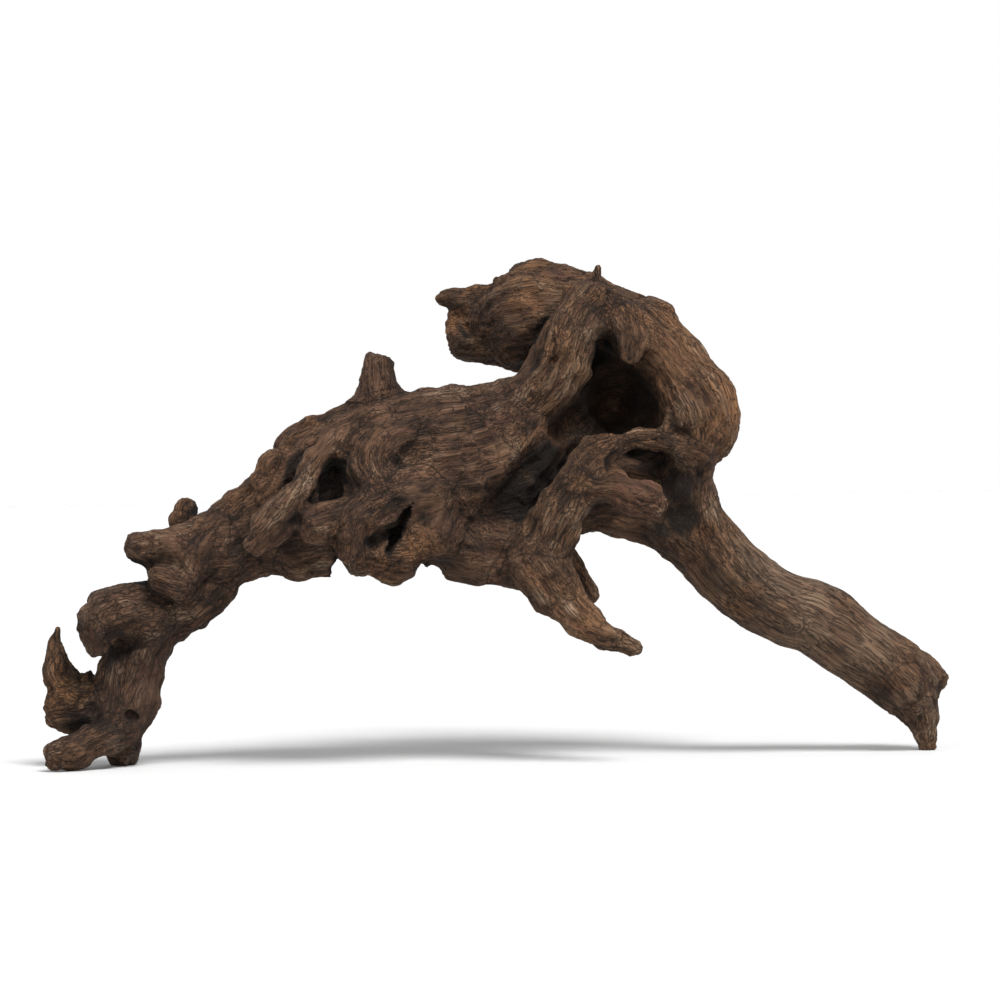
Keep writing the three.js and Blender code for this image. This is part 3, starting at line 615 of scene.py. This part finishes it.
# name, size and height of the lumps in millimetres, and the detail of their noise
LUMPS = [("Lump", 13.0, 1.6, 2.0), ("Crumb", 4.0, 2.2, 3.0)]
CREASE_SHARPNESS = 9
RIDGE_RISE = 0.35
SMOOTH_CALM = 0.72


def carving_tree():
    """Geometry nodes that push the skin's points in and out, with a named input for each size."""
    tree = bpy.data.node_groups.new("carved grain", "GeometryNodeTree")
    sheet = Sheet(tree)
    tree.interface.new_socket("Geometry", in_out="INPUT", socket_type="NodeSocketGeometry")
    names = [f"{ridge} {word}" for ridge, *_ in RIDGES for word in ("width", "length", "depth")]
    names += [f"{lump} {word}" for lump, *_ in LUMPS for word in ("size", "height")]
    for name in names:
        tree.interface.new_socket(name, in_out="INPUT", socket_type="NodeSocketFloat")
    tree.interface.new_socket("Geometry", in_out="OUTPUT", socket_type="NodeSocketGeometry")
    entry = tree.nodes.new("NodeGroupInput")
    sizes = {socket.name: Signal(sheet, socket) for socket in entry.outputs if socket.name}
    calm = 1 - attribute(sheet, "smooth") * SMOOTH_CALM
    depth = 0.0
    for ridge, *_ in RIDGES:
        width, length = sizes[f"{ridge} width"], sizes[f"{ridge} length"]
        size = sheet.add("ShaderNodeCombineXYZ", {}, {0: width, 1: width, 2: length})
        wave = grain_pattern(sheet, attribute, lambda place: sheet.noise(sheet.stretched(place, size)))
        from_crease = abs(wave - 0.5) * CREASE_SHARPNESS
        crease = 1 - sheet.add("ShaderNodeMath", {"operation": "TANH"}, {0: from_crease})
        depth = (crease * -1 + RIDGE_RISE) * sizes[f"{ridge} depth"] * calm + depth
    where = sheet.add("GeometryNodeInputPosition")
    for (lump, _, _, detail), mask in zip(LUMPS, (calm, attribute(sheet, "crumbly"))):
        step = {axis: sizes[f"{lump} size"] for axis in range(3)}
        size = sheet.add("ShaderNodeCombineXYZ", {}, step)
        bulge = sheet.noise(sheet.stretched(where, size), detail) - 0.5
        depth = bulge * 2 * sizes[f"{lump} height"] * mask + depth
    normal = sheet.add("GeometryNodeInputNormal")
    push = sheet.add("ShaderNodeVectorMath", {"operation": "SCALE"}, {0: normal, 3: depth})
    stored = sheet.add("GeometryNodeStoreNamedAttribute", {"data_type": "FLOAT", "domain": "POINT"},
                       {0: Signal(sheet, entry.outputs[0]), "Name": "relief", "Value": depth})
    moved = sheet.add("GeometryNodeSetPosition", {}, {0: stored, "Offset": push})
    leave = tree.nodes.new("NodeGroupOutput")
    tree.links.new(moved.socket, leave.inputs[0])
    return tree


print("ridges:", len(RIDGES), "lumps:", len(LUMPS))


# %% Carve the skin
def place_in_scene(name, data):
    """An object for a mesh, a light or a camera, linked to the scene."""
    thing = bpy.data.objects.new(name, data)
    bpy.context.scene.collection.objects.link(thing)
    return thing


def mesh_after_modifiers(body):
    """A plain mesh of what the object's modifiers make, with its attributes."""
    depsgraph = bpy.context.evaluated_depsgraph_get()
    return bpy.data.meshes.new_from_object(
        body.evaluated_get(depsgraph), preserve_all_data_layers=True, depsgraph=depsgraph)


def carve(mesh):
    """The skin with its furrows and lumps, as a mesh of its own."""
    body = place_in_scene("carved", mesh)
    modifier = body.modifiers.new("grain", "NODES")
    modifier.node_group = carving_tree()
    values = {}
    for ridge, width, length, depth in RIDGES:
        values |= {f"{ridge} width": width, f"{ridge} length": length, f"{ridge} depth": depth}
    for lump, size, height, _ in LUMPS:
        values |= {f"{lump} size": size, f"{lump} height": height}
    for socket in modifier.node_group.interface.items_tree:
        if socket.name in values:
            modifier[socket.identifier] = values[socket.name]
    result = mesh_after_modifiers(body)
    bpy.data.objects.remove(body)
    return result


carved = carve(skin)
print("carved points:", len(carved.vertices))

# %% [markdown]
# ## Standing on its soles
# The piece is turned a little so that it rests on two toes and the tip of the right leg, as the CAD
# part does, and the last millimetre under the soles is worn flat. Then it is cut at the same forks
# as the CAD part: each branch is what lies in a round block that reaches out from its fork.

# %% The standing pose
MM = 0.001
# how far the drawing is turned so that all three feet touch the floor, and what its origin becomes
LEAN = math.radians(0.95)
NOD = math.radians(2.0)
CENTRE = Vector((1.07, 4.59, 5))
turned = Matrix.Rotation(-NOD, 4, "X") @ Matrix.Rotation(LEAN, 4, "Y")
standing = Matrix.Scale(MM, 4) @ Matrix.Translation(-CENTRE) @ turned


def moved_by(matrix, where):
    """Places as rows of three numbers, moved by a matrix."""
    return where @ np.array(matrix.to_3x3()).T + np.array(matrix.translation)


def stand(mesh):
    """Turn the wood on its feet, in metres, and wear off what would sink into the floor."""
    where = moved_by(standing, read_points(mesh))
    where[:, 2] = np.maximum(where[:, 2], 0)
    mesh.vertices.foreach_set("co", where.astype(np.float32).ravel())
    mesh.update()


stand(carved)
print("height:", round(read_points(carved)[:, 2].max() / MM), "mm")

# %% The forks
# branch, where the block starts, turn up from +X, swing to the back, reach and radius
FORKS = [
    ("heel_twig", (-164, 7, 27), 147, 0, 60, 24),
    ("left_leg", (-128.6, 0, 65.2), 229, 0, 110, 60),
    ("upright_peg", (-47.2, 7, 152.2), 106, 0, 40, 13.5),
    ("broken_limb", (24, 20, 185), 183, 22, 80, 25),
    ("right_leg", (90, 8, 84), -45, 0, 160, 45),
    ("spur_root", (24, -20, 76), -60, 0, 70, 30),
    ("thumb_root", (47, -34, 112), -12, -10, 40, 15),
    ("shoulder", (11, 0, 130), 0, 0, 110, 110),
]
SIDES = 48


def fork_block(at, turn, swing, reach, radius):
    """A closed round block that starts at a fork and reaches out along its branch."""
    angles = np.arange(SIDES) * math.tau / SIDES
    ring = np.column_stack([np.zeros(SIDES), np.cos(angles), np.sin(angles)]) * radius
    points = np.vstack([ring, ring + (reach, 0, 0)])
    low = np.arange(SIDES)
    after = (low + 1) % SIDES
    sides = np.column_stack([low, after, after + SIDES, low + SIDES]).tolist()
    mesh = bpy.data.meshes.new("block")
    mesh.from_pydata(points.tolist(), [], [low[::-1].tolist(), (low + SIDES).tolist(), *sides])
    place = Matrix.Translation(at) @ Matrix.Rotation(-math.radians(turn), 4, "Y")
    mesh.transform(standing @ place @ Matrix.Rotation(math.radians(swing), 4, "Z"))
    return mesh


def cut(mesh, block, operation):
    """The part of the wood inside the block, or the rest of it."""
    body = place_in_scene("wood", mesh)
    cutter = place_in_scene("block", block)
    modifier = body.modifiers.new("cut", "BOOLEAN")
    modifier.object = cutter
    modifier.operation = operation
    modifier.solver = "MANIFOLD"
    result = mesh_after_modifiers(body)
    for each in (body, cutter):
        bpy.data.objects.remove(each)
    return result


branches = {}
rest = carved
for name, *shape in FORKS:
    block = fork_block(*shape)
    branches[name] = cut(rest, block, "INTERSECT")
    rest = cut(rest, block, "DIFFERENCE")
branches["trunk"] = rest
print({name: len(mesh.vertices) for name, mesh in branches.items()})

# %% [markdown]
# ## Grain on the cut faces
# A cut makes new points that know nothing of the grain, and they would show as a pale ring at each
# fork. They are found by their flat faces and copy the mean of the nearest points of the uncut skin.

# %% Mend the cut faces
PAINTED_BY = ["smooth", "greyed", "pale", "crumbly", "relief", "open"]
LAYERS = ["grain_a", "grain_b", "crossing", *PAINTED_BY]


def read_values(mesh, name):
    """What write_value has kept, as one row for each point."""
    layer = mesh.attributes[name]
    field, width = ("vector", 3) if layer.data_type == "FLOAT_VECTOR" else ("value", 1)
    values = np.empty(len(mesh.vertices) * width, np.float32)
    layer.data.foreach_get(field, values)
    return values.reshape(-1, width)


def points_of_flat_faces(mesh):
    """The numbers of the points of all flat-shaded faces, which only a cut makes."""
    smooth = np.empty(len(mesh.polygons), bool)
    totals = np.empty(len(mesh.polygons), int)
    corners = np.empty(len(mesh.loops), int)
    mesh.polygons.foreach_get("use_smooth", smooth)
    mesh.polygons.foreach_get("loop_total", totals)
    mesh.loops.foreach_get("vertex_index", corners)
    return np.unique(corners[np.repeat(~smooth, totals)])


uncut = {name: read_values(carved, name) for name in LAYERS}
uncut_points = read_points(carved)
nearest = KDTree(len(uncut_points))
for number, point in enumerate(uncut_points):
    nearest.insert(point, number)
nearest.balance()


def mend_cut_faces(mesh):
    """Points that a cut made take their grain from the nearest points of the uncut skin."""
    where = read_points(mesh)
    layers = {name: read_values(mesh, name) for name in LAYERS}
    new = points_of_flat_faces(mesh)
    for number in new:
        found = nearest.find_n(where[number], 3)
        nearness = np.array([1 / (far + 1e-6) for _, _, far in found])
        near = [index for _, index, _ in found]
        for name in LAYERS:
            layers[name][number] = nearness @ uncut[name][near] / nearness.sum()
    for name in LAYERS:
        write_value(mesh, name, layers[name].squeeze())
    return len(new)


print({name: mend_cut_faces(mesh) for name, mesh in branches.items()})

# %% [markdown]
# ## Patterns for the paint
# All paint follows the wood: noise that is drawn out along the grain makes fibres, splits and
# cracks, round noise makes blotches and specks, and a net of small cells makes the crackle of
# dried wood. Smooth wood has the longer fibres. Lines thinner than a millimetre are only paint and bump.

# %% Patterns in the wood
# the Object output of a Texture Coordinate node
OBJECT = 3


def shader_attribute(sheet, name, data_type="FLOAT"):
    """A value that the skin carries, as the paint reads it."""
    output = 1 if data_type == "FLOAT_VECTOR" else 2
    return sheet.add("ShaderNodeAttribute", {"attribute_name": name}, {}, output)


def along_grain(sheet, width, length, detail=3.0):
    """Noise in steps of this width and length, in millimetres, along the grain."""
    step = (width, width, length)
    return grain_pattern(sheet, shader_attribute, lambda place: sheet.noise(
        sheet.stretched(place, step), detail, 0.6))


def round_noise(sheet, where, size, roughness=0.6):
    """Noise in steps of this size, in metres, alike in all directions."""
    return sheet.noise(sheet.stretched(where, (size, size, size)), 3.0, roughness)


def wood_patterns(sheet):
    """All that the paint is mixed from, by name."""
    seen = SimpleNamespace(**{name: shader_attribute(sheet, name) for name in PAINTED_BY})
    seen.fibres = sheet.blend(seen.smooth, along_grain(sheet, 0.85, 15.0), along_grain(sheet, 1.2, 70.0))
    seen.bands = along_grain(sheet, 5.0, 60.0)
    where = sheet.add("ShaderNodeTexCoord", output=OBJECT)
    seen.blotches = round_noise(sheet, where, 0.03)
    seen.patches = round_noise(sheet, where, 0.017)
    seen.specks = round_noise(sheet, where, 0.0014, 0.7)
    return seen


def dark_lines(sheet, seen):
    """Splits, cracks and a net of crackle: 1 on a line and 0 beside it."""
    splits = sheet.blend(
        seen.smooth, along_grain(sheet, 1.3, 11.0, 2.0), along_grain(sheet, 1.5, 75.0, 2.0))
    cracks = along_grain(sheet, 2.6, 19.0)
    place = wandering(sheet, shader_attribute, shader_attribute(sheet, "grain_a", "FLOAT_VECTOR"))
    cells = {"Vector": sheet.stretched(place, (3, 3, 7)), "Scale": 1.0}
    to_edge = sheet.add("ShaderNodeTexVoronoi", {"feature": "DISTANCE_TO_EDGE"}, cells)
    split = (1 - abs(splits - 0.5).ramp(0.0, 0.035)) * seen.blotches.ramp(0.3, 0.55)
    crack = (1 - abs(cracks - 0.5).ramp(0.0, 0.024)) * seen.patches.ramp(0.36, 0.56)
    net = (1 - to_edge.ramp(0.0, 0.09)) * seen.blotches.ramp(0.42, 0.62) * (1 - seen.smooth)
    return split, crack, net


print("the paint reads from the skin:", PAINTED_BY)

# %% [markdown]
# ## The finish of the wood
# The wood is dark brown and matte. Furrows are darkened by dirt and painted shade, hollows and the gaps
# between limbs are nearly black with painted shade, raised ridges are paler and greyer by wear and a
# painted highlight, and fresh breaks show orange rot. A paint is a stack of coats over the branch's own
# tint,
# each laid on by a mask: weather first, then dirt in the cracks, and the painted shade of the hollows
# last.


# %% Paint
def linear(red, green, blue):
    """A colour as a screen shows it, from 0 to 255, as the light that Blender counts with."""
    return tuple(((c / 255 + 0.055) / 1.055)**2.4 for c in (red, green, blue)) + (1.0,)


# nearly black: the cracks, and painted shade in deep furrows and hollows
DARK = linear(17, 12, 8)
# dark brown: the fibre lines, and dirt with painted shade in the furrows
FURROW = linear(45, 31, 22)
# paler grey brown of the raised ridges: wear and a painted highlight
WORN_AND_HIGHLIGHT = linear(128, 109, 90)
GREY_BROWN = linear(110, 90, 72)
TAN = linear(119, 84, 55)
ROT = linear(141, 93, 54)
REDDISH = linear(91, 58, 44)
# height of the bump in metres, and how much glossier the tops of the fibres are
BUMP = 0.0009
SHINE = 0.15


def coats(seen, greyness, warmth):
    """The coats of paint over the tint, from first to last: how much of it lies where, and its colour."""
    tan = seen.patches.ramp(0.45, 0.68) * warmth * (1 - seen.smooth * 0.8) + seen.pale * 0.5
    # raised ridges: wear and a painted highlight
    worn_and_highlight = seen.relief.ramp(-0.5, 0.8) * seen.blotches.ramp(0.32, 0.6) * seen.fibres.ramp(0.38, 0.6)
    return [
        (seen.greyed, GREY_BROWN),
        # darker in the furrows: dirt and painted shade
        (1 - seen.relief.ramp(-1.5, 0.1), FURROW),
        (tan, TAN),
        ((seen.bands - 0.5).ramp(-0.05, 0.2) * 0.4, REDDISH),
        (worn_and_highlight * greyness * (1 - seen.smooth * 0.5), WORN_AND_HIGHLIGHT),
        (seen.crumbly * seen.specks.ramp(0.4, 0.6) * (0.15 + warmth * 0.6), ROT),
        ((1 - seen.fibres.ramp(0.4, 0.54)) * 0.5, FURROW),
        (seen.split * 0.6, DARK),
        # nearly black in the deepest furrows: dirt and painted shade
        ((1 - seen.relief.ramp(-2.2, -0.8)) * 0.75, DARK),
        (seen.crack * 0.65, DARK),
        (seen.net * 0.4, DARK),
        # painted shade: nearly black deep in hollows, between limbs and in the shade spots
        ((1 - seen.open.ramp(0.05, 0.8)) * 0.94, DARK),
    ]


def paint(name, tint, greyness, warmth, roughness):
    """A material for one branch, on its own tint."""
    material = bpy.data.materials.new(name)
    material.use_nodes = True
    material.node_tree.nodes.clear()
    sheet = Sheet(material.node_tree)
    seen = wood_patterns(sheet)
    seen.split, seen.crack, seen.net = dark_lines(sheet, seen)
    colour = tint
    for share, coat in coats(seen, greyness, warmth):
        colour = sheet.colours(share, colour, coat)
    grit = seen.specks * 0.3 * (seen.crumbly + 0.3)
    height = seen.fibres * 0.6 + grit - seen.crack * 0.8 - seen.split * 0.6 - seen.net * 0.5
    bump = sheet.add("ShaderNodeBump", {}, {"Strength": 1.0, "Distance": BUMP, "Height": height})
    shine = sheet.blend(seen.fibres, roughness, roughness - SHINE)
    surface = sheet.add("ShaderNodeBsdfPrincipled", {}, {
        "Base Color": colour, "Roughness": shine, "Normal": bump, "Specular IOR Level": 0.25})
    sheet.add("ShaderNodeOutputMaterial", {}, {0: surface})
    return material


print("bump:", round(BUMP / MM, 2), "mm at most")

# %% The paints
# tint, how grey the ridges with wear and painted highlight are, how much is tan, roughness
FINISHES = {
    "heel_twig": (linear(92, 65, 42), 0.7, 0.6, 0.95),
    "left_leg": (linear(70, 51, 38), 0.6, 0.3, 0.92),
    "upright_peg": (linear(74, 52, 39), 0.5, 0.2, 0.9),
    "broken_limb": (linear(75, 53, 37), 0.5, 0.7, 0.92),
    "right_leg": (linear(88, 64, 45), 0.7, 0.6, 0.92),
    "spur_root": (linear(97, 73, 53), 0.8, 0.3, 0.9),
    "thumb_root": (linear(90, 61, 44), 0.6, 0.3, 0.9),
    "shoulder": (linear(88, 64, 45), 0.7, 0.6, 0.92),
    "trunk": (linear(84, 60, 43), 0.75, 0.25, 0.92),
}
paints = {name: paint(name, *finish) for name, finish in FINISHES.items()}
print(len(paints), "paints")

# %% [markdown]
# ## Handing over the branches
# Every branch takes the place of its CAD node, rides on the one body and names its material slot.

# %% The branches in the scene
for name, mesh in branches.items():
    mesh.name = name + "_wood"
    mesh.materials.clear()
    mesh.materials.append(paints[name])
    branch = place_in_scene(name + "_wood", mesh)
    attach(branch, "root")
    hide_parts(name)
print("branches made:", len(branches))

# %% [markdown]
# ## Studio
# The photograph looks straight at the front from a little above the floor, with a long lens. A wide
# soft sun stands high in front at the right and keeps the floor white to the horizon, and a weaker
# lamp at the left fills the shadows. The world is white, a little darker overhead.

# %% Floor
FLOOR_SIZE = 6.0
FLOOR_GREY = 0.6


def staged_floor():
    """A wide pale floor that belongs to the studio and not to the part."""
    mesh = bpy.data.meshes.new("floor")
    half = FLOOR_SIZE / 2
    corners = [(-half, -half, 0), (half, -half, 0), (half, half, 0), (-half, half, 0)]
    mesh.from_pydata(corners, [], [(0, 1, 2, 3)])
    material = bpy.data.materials.new("floor")
    material.use_nodes = True
    shader = material.node_tree.nodes["Principled BSDF"]
    shader.inputs["Base Color"].default_value = (FLOOR_GREY, FLOOR_GREY, FLOOR_GREY, 1)
    shader.inputs["Roughness"].default_value = 0.9
    mesh.materials.append(material)
    place_in_scene("floor", mesh)


staged_floor()
print("staged: floor")

# %% Camera
# in millimetres of the photograph, as the limbs are
VIEW_FROM = Vector((2, -2200, 109.2))
IMAGE_WIDTH = 400.0
SENSOR = 36.0
lens = bpy.data.cameras.new("camera")
lens.sensor_width = SENSOR
lens.lens = SENSOR * -VIEW_FROM.y / IMAGE_WIDTH
lens.clip_end = 50
level = Matrix.Rotation(math.pi / 2, 4, "X")
camera = place_in_scene("camera", lens)
camera.matrix_world = Matrix.Translation(standing @ VIEW_FROM) @ turned @ level
bpy.context.scene.camera = camera
print("lens:", round(lens.lens), "mm")

# %% Lights
AIM = Vector((0, 0, 0.1))
KEY_SPREAD = math.radians(26)
FILL_SIZE = 1.2


def soft_light(name, kind, place, power):
    """A light that looks at the middle of the wood."""
    light = bpy.data.lights.new(name, kind)
    light.energy = power
    aim = AIM - Vector(place)
    lamp = place_in_scene(name, light)
    lamp.matrix_world = Matrix.Translation(place) @ aim.to_track_quat("-Z", "Y").to_matrix().to_4x4()
    return light


soft_light("key", "SUN", (0.45, -0.85, 1.6), 4.0).angle = KEY_SPREAD
soft_light("fill", "AREA", (-1.0, -1.2, 1.2), 7).size = FILL_SIZE
print("lights set")

# %% World
DARKER_OVERHEAD = 0.4
world = bpy.data.worlds.new("studio")
world.use_nodes = True
sky = Sheet(world.node_tree)
up = sky.add("ShaderNodeSeparateXYZ", {}, {0: sky.add("ShaderNodeTexCoord")}, 2)
brightness = 1 - up.ramp(0.1, 0.5) * DARKER_OVERHEAD
background = world.node_tree.nodes["Background"]
background.inputs["Color"].default_value = (1, 1, 1, 1)
world.node_tree.links.new(brightness.socket, background.inputs["Strength"])
bpy.context.scene.world = world
bpy.context.scene.view_settings.view_transform = "Standard"
print("white world, darker overhead by", DARKER_OVERHEAD)
